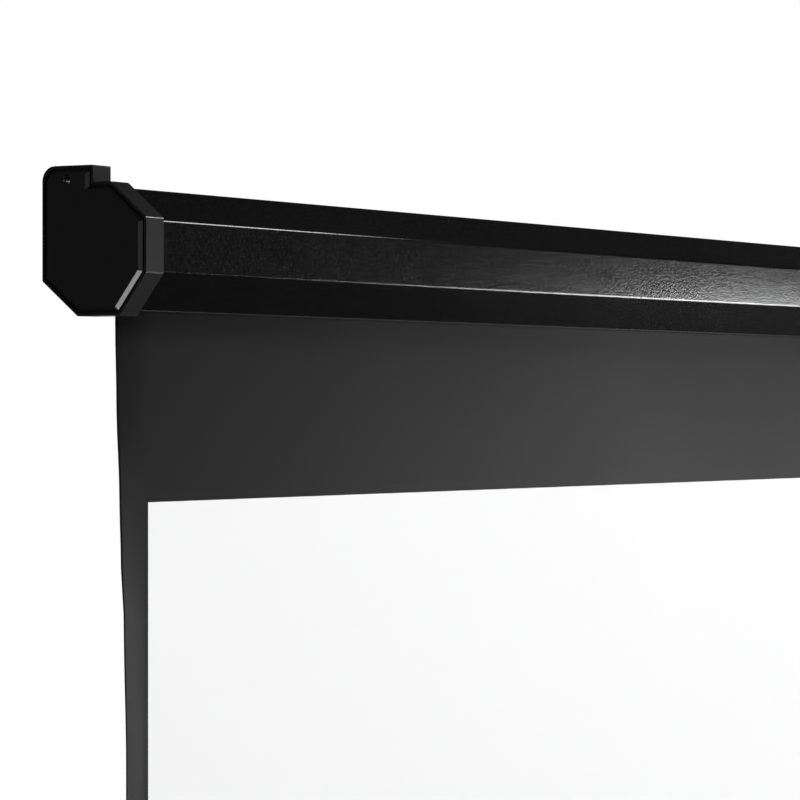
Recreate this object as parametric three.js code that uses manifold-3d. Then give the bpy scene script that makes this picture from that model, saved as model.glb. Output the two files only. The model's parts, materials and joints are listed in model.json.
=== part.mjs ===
// Pull-down projector screen: an octagonal case, a spring roller with a pawl ratchet,
// a black-bordered sheet and a weighted bottom bar with a swinging pull handle.
// Millimetres. +X runs along the case, +Y points to the wall and +Z is up.
// The origin is at mid-length, on the wall plane, level with the tops of the mounting ears.
import * as THREE from 'three';
import { mergeVertices } from 'three/addons/utils/BufferGeometryUtils.js';
import Module from 'manifold-3d';

const wasm = await Module();
wasm.setup();

// Picture and sheet
const viewWidth = 1860;
const viewHeight = 1046;
const sideBorder = 31;
const lowerBorder = 30;
const blackDrop = 112.4;
const sheetThickness = 0.4;
const coatThickness = 0.1;
const sheetToCapFace = 38;
const sheetSetback = 30;

// Gaps: between seated pieces, between turning pieces and past both faces of a cut
const seatGap = 0.3;
const turnGap = 0.5;
const cutOverrun = 1;

// End caps, seen from the end
const capHeight = 80;
const capDepth = 76;
const upperChamferDepth = 25.8;
const upperChamferHeight = 21.9;
const lowerChamferDepth = 19.4;
const lowerChamferHeight = 25.4;
const backChamferDepth = 26;
const backChamferHeight = 21.3;
const capCornerRadius = 2;
const earHeight = 10.2;
const earDepth = 37.4;
const earCornerRadius = 9;
const earEdgeRadius = 0.8;

// End caps, along the case
const capThickness = 19.7;
const capWall = 2.8;
const coverThickness = 3;
const coverBevel = 2;
const coverReveal = 1.6;
const coverMargin = 2.8;
const coverLedge = 1.2;
const coverLipWall = 1.6;
const partingGap = 1.2;
const webStart = 8;
const webThickness = 3;
const axleWindow = 22;
const earWall = 2.5;
const hangingHole = 6;
const hangingHoleSetback = 19;
const hangingHoleRise = 1.8;
const hangingBossLength = 4.1;
const keyholeSetIn = 14.3;
const keyholeHead = 8.6;
const keyholeNeck = 4.6;
const keyholeTravel = 8;
const wallKeyholeDrop = 18.5;
const ceilingKeyholeSetback = 12;

// Support plates and the screws that clamp the case between the caps
const plateThickness = 2;
const screwShank = 4;
const screwHead = 8;
const screwHeadHeight = 2.6;
const screwLength = 22;
const screwDriveWidth = 4.4;
const screwDriveSlot = 1;
const screwDriveDepth = 1.2;
const screwCrownShare = 0.72;
const screwShoulderShare = 0.45;

// Case extrusion
const caseWall = 1.6;
const caseCornerRadius = 2.2;
const slotWidth = 12;
const slotBead = 3.6;
const portOuter = 7;
const portBore = 4.6;

// Roller tube with the keyway that takes the top edge of the sheet
const rollerRadius = 16;
const rollerWall = 1.3;
const rollerDrop = 40;
const rollerEndToCapFace = 33;
const keywayWidth = 4.6;
const keywayWall = 1;
const keywayMouth = 2.2;
const wrapTurns = 1.25;
const wrapGap = 0.5;

// Idle end
const idlePinRadius = 4;
const idlePinLength = 38;
const idlePinStart = 9;
const bushingBarrel = 14;
const bushingFlange = 19;
const bushingFlangeThickness = 2;
const idleSnout = 13;
const idleCollarThickness = 4;
const pinChamfer = 1;
const plugLength = 26;

// Spring end
const spindleRadius = 4;
const tangThickness = 4.6;
const tangStart = 9;
const tangLength = 5;
const spindleReach = 330;
const ratchetStart = 15;
const ratchetThickness = 5;
const ratchetRadius = 9;
const notchFloorRadius = 6.5;
const notchWidth = 4.6;
const pawlThickness = 4;
const pawlPivotForward = 9;
const pawlPivotRise = 9.6;
const pawlHubRadius = 2.6;
const pawlReach = 10.2;
const pawlNoseWidth = 2.4;
const pawlNoseDepth = 1.9;
const pawlArmRise = 3.6;
const pawlArmFoot = 0.9;
const pawlNoseRadius = 0.3;
const pawlBackRadius = 1.2;
const pawlRivet = 3;
const pawlRivetHead = 5;
const pawlRivetHeadThickness = 1;
const carrierFaceToRatchet = 0.5;
const collarThickness = 6;
const collarSetback = 4;
const springSnoutRadius = 6;
const springSnoutLength = 16;
const springWire = 2;
const springCoils = 26;
const plugPin = 3;
const plugPinLength = 6;

// Bottom bar
const barWidth = 16;
const barHeight = 24;
const barWall = 1.5;
const barTopRadius = 2;
const barFootRadius = 7.4;
const barOverhang = 5;
const barChannel = 6.6;
const barMouth = 2.4;
const barCapThickness = 4;
const barCapPlug = 12;

// Pull handle
const saddleLength = 84;
const saddleWall = 3;
const saddleRise = 8;
const lugThickness = 6;
const lugRadius = 5;
const lugDrop = 6.5;
const handlePinRadius = 2.2;
const handlePinReach = 4.4;
const handleBar = 7;
const handleDrop = 31;
const handleCornerRadius = 11;
const gripRadius = 5.2;
const gripLength = 46;
const gripTaper = 6;
const handleScrewHead = 6;
const handleScrewShank = 3;
const handleScrewHeadHeight = 1.8;
const handleScrewRecess = 0.9;
const handleScrewLength = 7.5;
const handleScrewSpacing = 40;

// Faces round a turned piece, steps round a rounded corner
const roundFaces = 32;
const smallFaces = 16;
const screwFaces = 8;
const cornerSteps = 3;
const earCornerSteps = 6;
const barFootSteps = 6;
const bailSteps = 30;
const wrapStepsPerTurn = 36;
const springStepsPerCoil = 8;
const springSides = 5;
const springSamplesPerStep = 4;

// Places worked out from the sizes above
const sheetWidth = viewWidth + 2 * sideBorder;
const totalLength = sheetWidth + 2 * sheetToCapFace;
const capTop = -earHeight;
const capBottom = capTop - capHeight;
const capFront = -capDepth;
const caseInset = capWall + seatGap;
const coverSeat = coverThickness + seatGap;
const wellInset = coverMargin + coverLedge;
const webEnd = webStart + webThickness;
const plateStart = webEnd + seatGap;
const plateEnd = plateStart + plateThickness;
const caseStart = plateEnd + seatGap;
const caseLength = totalLength - 2 * caseStart;
const wrapPitch = sheetThickness + wrapGap;
const wrapStartRadius = rollerRadius + seatGap;
const wrapEndRadius = wrapStartRadius + wrapTurns * wrapPitch;
const axleSetback = sheetSetback + wrapEndRadius + sheetThickness / 2;
const axleHeight = capTop - rollerDrop;
const rollerLength = totalLength - 2 * rollerEndToCapFace;
const rollerBore = rollerRadius - rollerWall;
const plugRadius = rollerBore - seatGap;
const keywayRadius = keywayWidth / 2;
const keywayCentre = rollerRadius - keywayRadius - keywayWall;
const keywayFloor = keywayCentre - keywayRadius - keywayWall;
const collarRadius = keywayFloor - turnGap;
const rollerSplineRadius = keywayRadius - seatGap;
const hemSplineRadius = barChannel / 2 - seatGap;
const barTop = capBottom - blackDrop - viewHeight - lowerBorder;
const barLength = sheetWidth + 2 * barOverhang;

// Solids and cuts

function facingOut(geometry) {
  const merged = mergeVertices(stripped(geometry));
  const index = merged.index.array;
  const at = merged.attributes.position;
  const a = new THREE.Vector3();
  const b = new THREE.Vector3();
  const c = new THREE.Vector3();
  let volume = 0;
  for (let i = 0; i < index.length; i += 3) {
    a.fromBufferAttribute(at, index[i]);
    b.fromBufferAttribute(at, index[i + 1]);
    c.fromBufferAttribute(at, index[i + 2]);
    volume += a.dot(b.cross(c));
  }
  if (volume < 0) {
    for (let i = 0; i < index.length; i += 3) {
      [index[i + 1], index[i + 2]] = [index[i + 2], index[i + 1]];
    }
  }
  return merged;
}

function stripped(geometry) {
  const copy = geometry.clone();
  copy.deleteAttribute('normal');
  copy.deleteAttribute('uv');
  return copy;
}

function solid(geometry) {
  const closed = facingOut(geometry);
  const vertProperties = new Float32Array(closed.attributes.position.array);
  const triVerts = new Uint32Array(closed.index.array);
  return new wasm.Manifold(new wasm.Mesh({ numProp: 3, vertProperties, triVerts }));
}

function geometryOf(body) {
  const { vertProperties, triVerts } = body.getMesh();
  const geometry = new THREE.BufferGeometry();
  geometry.setAttribute('position', new THREE.BufferAttribute(new Float32Array(vertProperties), 3));
  geometry.setIndex(new THREE.BufferAttribute(new Uint32Array(triVerts), 1));
  geometry.computeVertexNormals();
  return geometry;
}

function joined(...bodies) {
  return bodies.reduce((whole, body) => whole.add(body));
}

function cut(body, ...tools) {
  return tools.reduce((left, tool) => left.subtract(tool), body);
}

// Outlines in the YZ plane, anticlockwise seen from +X

function point(y, z) {
  return new THREE.Vector2(y, z);
}

function insetPolygon(corners, inset) {
  const count = corners.length;
  return corners.map((corner, i) => {
    const before = corner.clone().sub(corners[(i + count - 1) % count]).normalize();
    const after = corners[(i + 1) % count].clone().sub(corner).normalize();
    const inward = point(-before.y, before.x).add(point(-after.y, after.x)).normalize();
    const reach = inset / inward.dot(point(-before.y, before.x));
    return corner.clone().add(inward.multiplyScalar(reach));
  });
}

function roundedPolygon(corners, radii, steps = cornerSteps) {
  const count = corners.length;
  const widestShare = 0.45;
  return corners.flatMap((corner, i) => {
    const radius = Array.isArray(radii) ? radii[i] : radii;
    if (radius === 0) return [corner.clone()];
    const back = corners[(i + count - 1) % count].clone().sub(corner);
    const ahead = corners[(i + 1) % count].clone().sub(corner);
    const widest = widestShare * Math.min(back.length(), ahead.length());
    back.normalize();
    ahead.normalize();
    const halfAngle = Math.acos(THREE.MathUtils.clamp(back.dot(ahead), -1, 1)) / 2;
    const tangent = Math.min(radius / Math.tan(halfAngle), widest);
    const start = corner.clone().addScaledVector(back, tangent);
    const end = corner.clone().addScaledVector(ahead, tangent);
    const toCentre = back.clone().add(ahead).normalize();
    const centre = corner.clone().addScaledVector(toCentre, tangent / Math.cos(halfAngle));
    const first = start.clone().sub(centre);
    const turn = first.angleTo(end.clone().sub(centre)) * Math.sign(first.cross(end.clone().sub(centre)));
    const cornerSegments = Array.isArray(steps) ? steps[i] : steps;
    return Array.from({ length: cornerSegments + 1 }, (_, step) =>
      start.clone().rotateAround(centre, (turn * step) / cornerSegments));
  });
}

function circle(radius, faces = roundFaces, y = 0, z = 0) {
  return Array.from({ length: faces }, (_, i) => {
    const angle = (2 * Math.PI * (i + 0.5)) / faces;
    return point(y + radius * Math.cos(angle), z + radius * Math.sin(angle));
  });
}

function rectangle(y0, y1, z0, z1) {
  return [point(y0, z0), point(y1, z0), point(y1, z1), point(y0, z1)];
}

// The corners of an end cap without its ear, from the front of the underside round the back
function octagon(inset = 0) {
  return insetPolygon([
    point(capFront + lowerChamferDepth, capBottom),
    point(-backChamferDepth, capBottom),
    point(0, capBottom + backChamferHeight),
    point(0, capTop - backChamferHeight),
    point(-backChamferDepth, capTop),
    point(capFront + upperChamferDepth, capTop),
    point(capFront, capTop - upperChamferHeight),
    point(capFront, capBottom + lowerChamferHeight),
  ], inset);
}

// The cap with its ear: the ear squares off the upper back corner and stands above the case
function capOutline(inset = 0) {
  const [underFront, underBack, backFoot, , , topFront, frontTop, frontFoot] = octagon();
  const corners = [
    underFront, underBack, backFoot,
    point(0, 0), point(-earDepth, 0), point(-earDepth, capTop),
    topFront, frontTop, frontFoot,
  ];
  const round = capCornerRadius;
  const radii = [round, round, round, earCornerRadius, earEdgeRadius, 0, round, round, round];
  const steps = radii.map((radius) => (radius === earCornerRadius ? earCornerSteps : cornerSteps));
  return roundedPolygon(insetPolygon(corners, inset), radii, steps);
}

// The space inside the ear: it rests on the cap's octagon and follows the ear's walls
function earHollow() {
  const throatFloor = capTop - backChamferHeight * (1 - earWall / backChamferDepth);
  const corners = [
    point(-earWall, throatFloor),
    point(-earWall, -earWall),
    point(-earDepth + earWall, -earWall),
    point(-earDepth + earWall, capTop),
    point(-backChamferDepth, capTop),
  ];
  return roundedPolygon(corners, [0, earCornerRadius - earWall, earEdgeRadius, 0, 0]);
}

// A prism along X, between two distances in either order
function prism(outline, from, to) {
  const depth = Math.abs(to - from);
  const geometry = new THREE.ExtrudeGeometry(new THREE.Shape(outline), { depth, bevelEnabled: false });
  const yzToWorld = new THREE.Matrix4().makeBasis(
    new THREE.Vector3(0, 1, 0), new THREE.Vector3(0, 0, 1), new THREE.Vector3(1, 0, 0));
  geometry.applyMatrix4(yzToWorld);
  geometry.translate(Math.min(from, to), 0, 0);
  return geometry;
}

function bar(outline, from, to) {
  return solid(prism(outline, from, to));
}

// A solid of revolution round X from [distance along X, radius] pairs
function turned(profile, faces = roundFaces) {
  const points = profile.map(([along, radius]) => point(radius, along));
  return facingOut(new THREE.LatheGeometry(points, faces).rotateZ(-Math.PI / 2));
}

// A stack of rings of equal length along X, capped at both ends
function stack(rings) {
  const count = rings[0].outline.length;
  const positions = rings.flatMap(({ x, outline }) => outline.flatMap((p) => [x, p.x, p.y]));
  const index = [];
  for (let r = 0; r + 1 < rings.length; r += 1) {
    for (let i = 0; i < count; i += 1) {
      const j = (i + 1) % count;
      index.push(r * count + i, r * count + j, (r + 1) * count + j);
      index.push(r * count + i, (r + 1) * count + j, (r + 1) * count + i);
    }
  }
  const last = (rings.length - 1) * count;
  for (const [a, b, c] of THREE.ShapeUtils.triangulateShape(rings[0].outline, [])) index.push(a, c, b);
  for (const [a, b, c] of THREE.ShapeUtils.triangulateShape(rings.at(-1).outline, [])) {
    index.push(last + a, last + b, last + c);
  }
  const geometry = new THREE.BufferGeometry();
  geometry.setAttribute('position', new THREE.Float32BufferAttribute(positions, 3));
  geometry.setIndex(index);
  return facingOut(geometry);
}

// A round bar between two points
function rod(radius, from, to, faces = smallFaces) {
  const axis = to.clone().sub(from);
  const geometry = new THREE.CylinderGeometry(radius, radius, axis.length(), faces);
  geometry.applyQuaternion(new THREE.Quaternion().setFromUnitVectors(
    new THREE.Vector3(0, 1, 0), axis.clone().normalize()));
  const middle = from.clone().add(to).multiplyScalar(0.5);
  return geometry.translate(middle.x, middle.y, middle.z);
}

function vector(x, y, z) {
  return new THREE.Vector3(x, y, z);
}

// Places shared by several pieces

// Centres of the four screw ports, in the corners that the roll and the slot leave free
function portCentres() {
  const inset = caseInset + caseWall + portOuter / 2 - seatGap;
  const [underFront, , backFoot, , topBack, topFront] = octagon(inset);
  return [underFront, backFoot, topBack, topFront];
}

function axleCentre() {
  return point(-axleSetback, axleHeight);
}

// Case

// Both lips of the sheet slot end in beads. The rear lip is on the lower back chamfer.
function slotBeads() {
  const radius = slotBead / 2;
  const front = -sheetSetback - slotWidth / 2 - radius;
  const rear = -sheetSetback + slotWidth / 2 + radius;
  const [, from, to] = octagon(caseInset + radius);
  const rise = ((to.y - from.y) * (rear - from.x)) / (to.x - from.x);
  return [point(front, from.y), point(rear, from.y + Math.max(rise, 0))];
}

function caseHousing() {
  const half = caseLength / 2;
  const outer = roundedPolygon(octagon(caseInset), caseCornerRadius);
  const inner = octagon(caseInset + caseWall);
  const sill = capBottom + caseInset;
  const [frontBead, rearBead] = slotBeads();
  let shell = cut(bar(outer, -half, half), bar(inner, -half - cutOverrun, half + cutOverrun));
  const ports = portCentres();
  for (const port of ports) {
    const ring = bar(circle(portOuter / 2, smallFaces, port.x, port.y), -half, half);
    shell = shell.add(ring.intersect(bar(outer, -half, half)));
  }
  for (const port of ports) {
    const bore = circle(portBore / 2, smallFaces, port.x, port.y);
    shell = shell.subtract(bar(bore, -half - cutOverrun, half + cutOverrun));
  }
  const slot = rectangle(frontBead.x, rearBead.x, sill - cutOverrun, rearBead.y + slotBead);
  shell = shell.subtract(bar(slot, -half - cutOverrun, half + cutOverrun));
  for (const bead of [frontBead, rearBead]) {
    const rim = circle(slotBead / 2, smallFaces, bead.x, bead.y);
    shell = shell.add(bar(rim, -half, half).intersect(bar(outer, -half, half)));
  }
  return geometryOf(shell);
}

// End caps. Each is built along `inward`, +1 on the left and -1 on the right.

function keyhole(across, along) {
  const head = circle(keyholeHead / 2, smallFaces, across, along);
  const neck = rectangle(
    across - keyholeNeck / 2, across + keyholeNeck / 2, along, along + keyholeTravel);
  return [head, neck, circle(keyholeNeck / 2, smallFaces, across, along + keyholeTravel)];
}

// A cut through a wall that faces +Y, drawn in XZ
function cutAlongY(outline, from, to) {
  const geometry = prism(outline, from, to);
  const turn = new THREE.Matrix4().makeBasis(
    new THREE.Vector3(0, 1, 0), new THREE.Vector3(1, 0, 0), new THREE.Vector3(0, 0, 1));
  return solid(geometry.applyMatrix4(turn));
}

// A cut through a wall that faces +Z, drawn in XY
function cutAlongZ(outline, from, to) {
  const geometry = prism(outline, from, to);
  const turn = new THREE.Matrix4().makeBasis(
    new THREE.Vector3(0, 0, 1), new THREE.Vector3(1, 0, 0), new THREE.Vector3(0, 1, 0));
  return solid(geometry.applyMatrix4(turn));
}

function hangingBar(radius, inward, from, to) {
  const centre = point(-hangingHoleSetback, capTop + hangingHoleRise);
  return bar(circle(radius, smallFaces, centre.x, centre.y), inward * from, inward * to);
}

// Room for the heads of the case screws, in the well and in the lip that plugs it
function headReliefs(inward) {
  return portCentres().map((port) => bar(
    circle(screwHead / 2 + turnGap, smallFaces, port.x, port.y),
    inward * coverThickness, inward * webStart));
}

// The cover sits in a pocket in the outer end, and stands proud of the rim round it
function endBracket(inward) {
  const bossStart = coverSeat + earWall;
  const bossEnd = bossStart + hangingBossLength;
  const keyholeAcross = inward * keyholeSetIn;
  let body = bar(capOutline(), inward * coverReveal, inward * capThickness);
  body = cut(
    body,
    bar(capOutline(coverMargin - partingGap),
      inward * (coverReveal - cutOverrun), inward * coverSeat),
    bar(octagon(wellInset), inward * (coverReveal - cutOverrun), inward * webStart),
    ...headReliefs(inward),
    bar(octagon(capWall), inward * webEnd, inward * (capThickness + cutOverrun)),
    bar(earHollow(), inward * bossStart, inward * (capThickness + cutOverrun)),
    bar(circle(axleWindow / 2, roundFaces, -axleSetback, axleHeight),
      inward * (webStart - cutOverrun), inward * (webEnd + cutOverrun)),
    ...screwHoles(inward, webStart, webEnd),
  );
  body = body.add(hangingBar(hangingHole / 2 + earWall, inward, coverSeat, bossEnd));
  body = body.subtract(hangingBar(
    hangingHole / 2, inward, coverReveal - cutOverrun, bossEnd + cutOverrun));
  for (const outline of keyhole(keyholeAcross, capTop - wallKeyholeDrop + earHeight)) {
    body = body.subtract(cutAlongY(outline, -earWall - cutOverrun, cutOverrun));
  }
  for (const outline of keyhole(keyholeAcross, -ceilingKeyholeSetback - keyholeTravel)) {
    body = body.subtract(cutAlongZ(outline, -earWall - cutOverrun, cutOverrun));
  }
  return geometryOf(body);
}

function screwHoles(inward, from, to) {
  const radius = screwShank / 2 + turnGap;
  return portCentres().map((port) => bar(
    circle(radius, screwFaces, port.x, port.y),
    inward * (from - cutOverrun), inward * (to + cutOverrun)));
}

function endCover(inward) {
  const plate = solid(stack([
    { x: 0, outline: capOutline(coverMargin + coverBevel) },
    { x: inward * coverBevel, outline: capOutline(coverMargin) },
    { x: inward * coverThickness, outline: capOutline(coverMargin) },
  ]));
  const lipOuter = octagon(wellInset + seatGap);
  const lipInner = octagon(wellInset + seatGap + coverLipWall);
  const lipEnd = webStart - seatGap;
  const lip = cut(
    bar(lipOuter, inward * (coverThickness - seatGap), inward * lipEnd),
    bar(lipInner, inward * coverThickness, inward * (lipEnd + cutOverrun)),
  );
  return geometryOf(cut(joined(plate, cut(lip, ...headReliefs(inward))),
    hangingBar(hangingHole / 2, inward, -cutOverrun, coverThickness + cutOverrun)));
}

function supportPlate(inward, axleCut) {
  const outline = roundedPolygon(octagon(caseInset), caseCornerRadius);
  return geometryOf(cut(
    bar(outline, inward * plateStart, inward * plateEnd),
    bar(axleCut, inward * (plateStart - cutOverrun), inward * (plateEnd + cutOverrun)),
    ...screwHoles(inward, plateStart, plateEnd),
  ));
}

function bushingHole() {
  return circle(bushingBarrel / 2 + seatGap, roundFaces, -axleSetback, axleHeight);
}

function tangSlot() {
  const halfWidth = spindleRadius + seatGap;
  const halfHeight = tangThickness / 2 + seatGap;
  return rectangle(
    -axleSetback - halfWidth, -axleSetback + halfWidth,
    axleHeight - halfHeight, axleHeight + halfHeight);
}

// Pan-head screw pointing inward, its head's seat at x = 0, with a cross recess
function crossScrew(inward, head, headHeight, shank, length) {
  const crown = (head * screwCrownShare) / 2;
  const profile = [
    [-headHeight, 0], [-headHeight, crown], [-headHeight * screwShoulderShare, head / 2],
    [0, head / 2], [0, shank / 2], [length - shank / 2, shank / 2], [length, 0],
  ];
  const body = solid(turned(profile.map(([x, r]) => [inward * x, r]), screwFaces));
  const armShare = screwDriveWidth / screwHead;
  const slotShare = screwDriveSlot / screwHead;
  const depthShare = screwDriveDepth / screwHeadHeight;
  const long = (head * armShare) / 2;
  const short = (head * slotShare) / 2;
  const top = -inward * (headHeight + cutOverrun);
  const floor = -inward * headHeight * (1 - depthShare);
  return geometryOf(cut(body,
    bar(rectangle(-long, long, -short, short), top, floor),
    bar(rectangle(-short, short, -long, long), top, floor)));
}

function caseScrew(inward) {
  return crossScrew(inward, screwHead, screwHeadHeight, screwShank, screwLength);
}

// Roller, drawn round its own axle

function keywayTool(from, to) {
  return joined(
    bar(circle(keywayRadius, smallFaces, 0, keywayCentre), from, to),
    bar(rectangle(-keywayMouth / 2, keywayMouth / 2, keywayCentre, rollerRadius + cutOverrun), from, to));
}

// The ridge that the keyway makes inside the tube, grown by a gap where a plug has to clear it
function keywayRidge(from, to, grow = 0) {
  const half = keywayRadius + keywayWall + grow;
  const outline = rectangle(-half, half, keywayFloor - grow, rollerRadius);
  return bar(outline, from, to);
}

function rollerTube() {
  const half = rollerLength / 2;
  const outer = bar(circle(rollerRadius), -half, half);
  const bore = bar(circle(rollerBore), -half - cutOverrun, half + cutOverrun);
  const ridge = keywayRidge(-half, half).intersect(outer);
  return geometryOf(cut(joined(cut(outer, bore), ridge),
    keywayTool(-half - cutOverrun, half + cutOverrun),
    ...plugPinPlaces().flatMap((x) => pinHoles(x))));
}

// A plug in the tube, keyed to the ridge; `from` and `to` are measured along X
function keyedPlug(from, to) {
  const body = bar(circle(plugRadius), from, to);
  const low = Math.min(from, to) - cutOverrun;
  const high = Math.max(from, to) + cutOverrun;
  return body.subtract(keywayRidge(low, high, seatGap));
}

function leftFace() {
  return -totalLength / 2;
}

function rightFace() {
  return totalLength / 2;
}

function idleBushing() {
  const start = plateStart - seatGap;
  const flangeStart = plateEnd + seatGap;
  const end = flangeStart + bushingFlangeThickness;
  const bore = idlePinRadius + seatGap;
  return turned([
    [start, bore], [end, bore], [end, bushingFlange / 2], [flangeStart, bushingFlange / 2],
    [flangeStart, bushingBarrel / 2], [start, bushingBarrel / 2], [start, bore],
  ].map(([x, r]) => [leftFace() + x, r]));
}

function idlePin() {
  const end = idlePinStart + idlePinLength;
  return turned([
    [idlePinStart, 0], [idlePinStart, idlePinRadius - pinChamfer],
    [idlePinStart + pinChamfer, idlePinRadius],
    [end, idlePinRadius], [end, 0],
  ].map(([x, r]) => [leftFace() + x, r]), smallFaces);
}

function idlePlug() {
  const snoutStart = plateEnd + seatGap + bushingFlangeThickness + turnGap;
  const collarEnd = rollerEndToCapFace - seatGap;
  const collarStart = collarEnd - idleCollarThickness;
  const head = solid(turned([
    [snoutStart, 0], [snoutStart, idleSnout / 2], [collarStart, idleSnout / 2],
    [collarStart, rollerRadius], [collarEnd, rollerRadius], [collarEnd, 0],
  ].map(([x, r]) => [leftFace() + x, r])));
  const body = keyedPlug(leftFace() + collarEnd, leftFace() + collarEnd + plugLength);
  const bore = bar(circle(idlePinRadius + seatGap, smallFaces),
    leftFace() + snoutStart - cutOverrun, leftFace() + idlePinStart + idlePinLength + seatGap);
  return geometryOf(cut(joined(head, body), bore, ...pinHoles(plugPinPlaces()[0])));
}

// Drive pins hold the three plugs in the tube, one on each side of the axle
function plugPinPlaces() {
  return [
    leftFace() + rollerEndToCapFace + plugLength / 2,
    rightFace() - rollerEndToCapFace - plugLength / 2,
    rightFace() - springPlugStart() - plugLength / 2,
  ];
}

function pinHoles(x) {
  const radius = plugPin / 2 + seatGap;
  const floor = rollerRadius - plugPinLength - seatGap;
  const reach = rollerRadius + cutOverrun;
  return [1, -1].map((side) =>
    solid(rod(radius, vector(x, side * floor, 0), vector(x, side * reach, 0), screwFaces)));
}

// A drive pin along Y, driven flush with the tube so that the sheet winds over it
function plugPinOn(side) {
  return rod(plugPin / 2, vector(0, side * (rollerRadius - plugPinLength), 0),
    vector(0, side * rollerRadius, 0), screwFaces);
}

// Spring end. Distances are from the right cap's outer face, so they run towards -X.

function fromRight(profile) {
  return profile.map(([x, r]) => [rightFace() - x, r]);
}

function carrierStart() {
  return ratchetStart + ratchetThickness + carrierFaceToRatchet;
}

function collarStart() {
  return rollerEndToCapFace + plugLength + collarSetback;
}

function springStart() {
  return collarStart() + collarThickness + seatGap;
}

function springPlugStart() {
  return spindleReach - springSnoutLength / 2;
}

function springEnd() {
  return springPlugStart() - seatGap;
}

function spindle() {
  const shoulder = tangStart + tangLength;
  const tipRadius = spindleRadius - pinChamfer;
  const round = turned(fromRight([
    [tangStart, 0], [tangStart, tipRadius], [tangStart + pinChamfer, spindleRadius],
    [spindleReach - pinChamfer, spindleRadius], [spindleReach, tipRadius], [spindleReach, 0],
  ]), smallFaces);
  const flats = [1, -1].map((side) => bar(
    rectangle(-rollerRadius, rollerRadius,
      side > 0 ? tangThickness / 2 : -rollerRadius, side > 0 ? rollerRadius : -tangThickness / 2),
    rightFace() - tangStart + cutOverrun, rightFace() - shoulder));
  return geometryOf(cut(solid(round), ...flats));
}

function ratchetWheel() {
  const from = rightFace() - ratchetStart;
  const to = from - ratchetThickness;
  const notch = (side) => bar(
    rectangle(-notchWidth / 2, notchWidth / 2,
      side > 0 ? notchFloorRadius : -ratchetRadius - cutOverrun,
      side > 0 ? ratchetRadius + cutOverrun : -notchFloorRadius),
    from + cutOverrun, to - cutOverrun);
  const bore = bar(circle(spindleRadius + seatGap, smallFaces), from + cutOverrun, to - cutOverrun);
  return geometryOf(cut(bar(circle(ratchetRadius), from, to), bore, notch(1), notch(-1)));
}

// A hooked pawl held clear of the ratchet, drawn round its own pivot, nose towards the wheel's top
function pawl() {
  const noseBack = pawlReach - pawlNoseWidth;
  const arm = roundedPolygon([
    point(0, -pawlArmFoot), point(noseBack, pawlNoseDepth), point(noseBack, 0),
    point(pawlReach, 0), point(pawlReach, pawlArmRise), point(0, pawlHubRadius),
  ], [0, 0, pawlNoseRadius, pawlNoseRadius, pawlBackRadius, 0]);
  const half = pawlThickness / 2;
  const hole = circle(pawlRivet / 2 + seatGap, smallFaces);
  return geometryOf(cut(
    joined(bar(circle(pawlHubRadius, smallFaces), -half, half), bar(arm, -half, half)),
    bar(hole, -half - cutOverrun, half + cutOverrun)));
}

function pawlMiddle() {
  return rightFace() - ratchetStart - ratchetThickness / 2;
}

function pawlPivotRivet() {
  const headSeat = pawlMiddle() + pawlThickness / 2 + seatGap;
  const foot = rightFace() - carrierStart() - pawlRivet;
  const top = headSeat + pawlRivetHeadThickness;
  return geometryOf(joined(
    solid(rod(pawlRivet / 2, vector(foot, 0, 0), vector(top, 0, 0), screwFaces)),
    solid(rod(pawlRivetHead / 2, vector(headSeat, 0, 0), vector(top, 0, 0), screwFaces))));
}

function pawlCarrier() {
  const start = carrierStart();
  const shoulder = rollerEndToCapFace - seatGap;
  const head = bar(circle(rollerRadius), rightFace() - start, rightFace() - shoulder);
  const body = keyedPlug(rightFace() - shoulder, rightFace() - shoulder - plugLength);
  const bore = bar(circle(spindleRadius + seatGap, smallFaces),
    rightFace() - start + cutOverrun, rightFace() - shoulder - plugLength - cutOverrun);
  const pinHole = (side) => bar(
    circle(pawlRivet / 2 + seatGap, screwFaces, -side * pawlPivotForward, side * pawlPivotRise),
    rightFace() - start + cutOverrun, rightFace() - start - pawlRivet - seatGap);
  return geometryOf(cut(joined(head, body), bore, pinHole(1), pinHole(-1),
    ...pinHoles(plugPinPlaces()[1])));
}

function spindleCollar() {
  const start = collarStart();
  const end = start + collarThickness;
  const bore = spindleRadius + seatGap;
  return turned(fromRight([
    [start, bore], [start, collarRadius], [end, collarRadius], [end, springSnoutRadius],
    [end + springSnoutLength, springSnoutRadius], [end + springSnoutLength, bore], [start, bore],
  ]));
}

function springPlug() {
  const start = springPlugStart();
  const snout = bar(circle(springSnoutRadius),
    rightFace() - start + springSnoutLength, rightFace() - start);
  const body = keyedPlug(rightFace() - start, rightFace() - start - plugLength);
  const bore = bar(circle(spindleRadius + seatGap, smallFaces),
    rightFace() - start + springSnoutLength + cutOverrun, rightFace() - spindleReach - seatGap);
  return geometryOf(cut(joined(snout, body), bore, ...pinHoles(plugPinPlaces()[2])));
}

// The torsion spring's wire: straight for one wire width at each end, coiled between
class SpringPath extends THREE.Curve {
  constructor(radius, length, coils, lead) {
    super();
    Object.assign(this, { radius, length, coils, lead });
    this.coiled = Math.hypot(2 * Math.PI * radius * coils, length);
    this.arcLengthDivisions = coils * springStepsPerCoil * springSamplesPerStep;
  }

  getPoint(t, target = new THREE.Vector3()) {
    const run = t * (this.coiled + 2 * this.lead) - this.lead;
    const share = THREE.MathUtils.clamp(run / this.coiled, 0, 1);
    const straight = run - share * this.coiled;
    const angle = 2 * Math.PI * this.coils * share;
    const around = (2 * Math.PI * this.radius * this.coils) / this.coiled;
    const along = this.length / this.coiled;
    return target.set(
      this.length * share + straight * along,
      this.radius * Math.cos(angle) - straight * around * Math.sin(angle),
      this.radius * Math.sin(angle) + straight * around * Math.cos(angle));
  }
}

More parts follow.
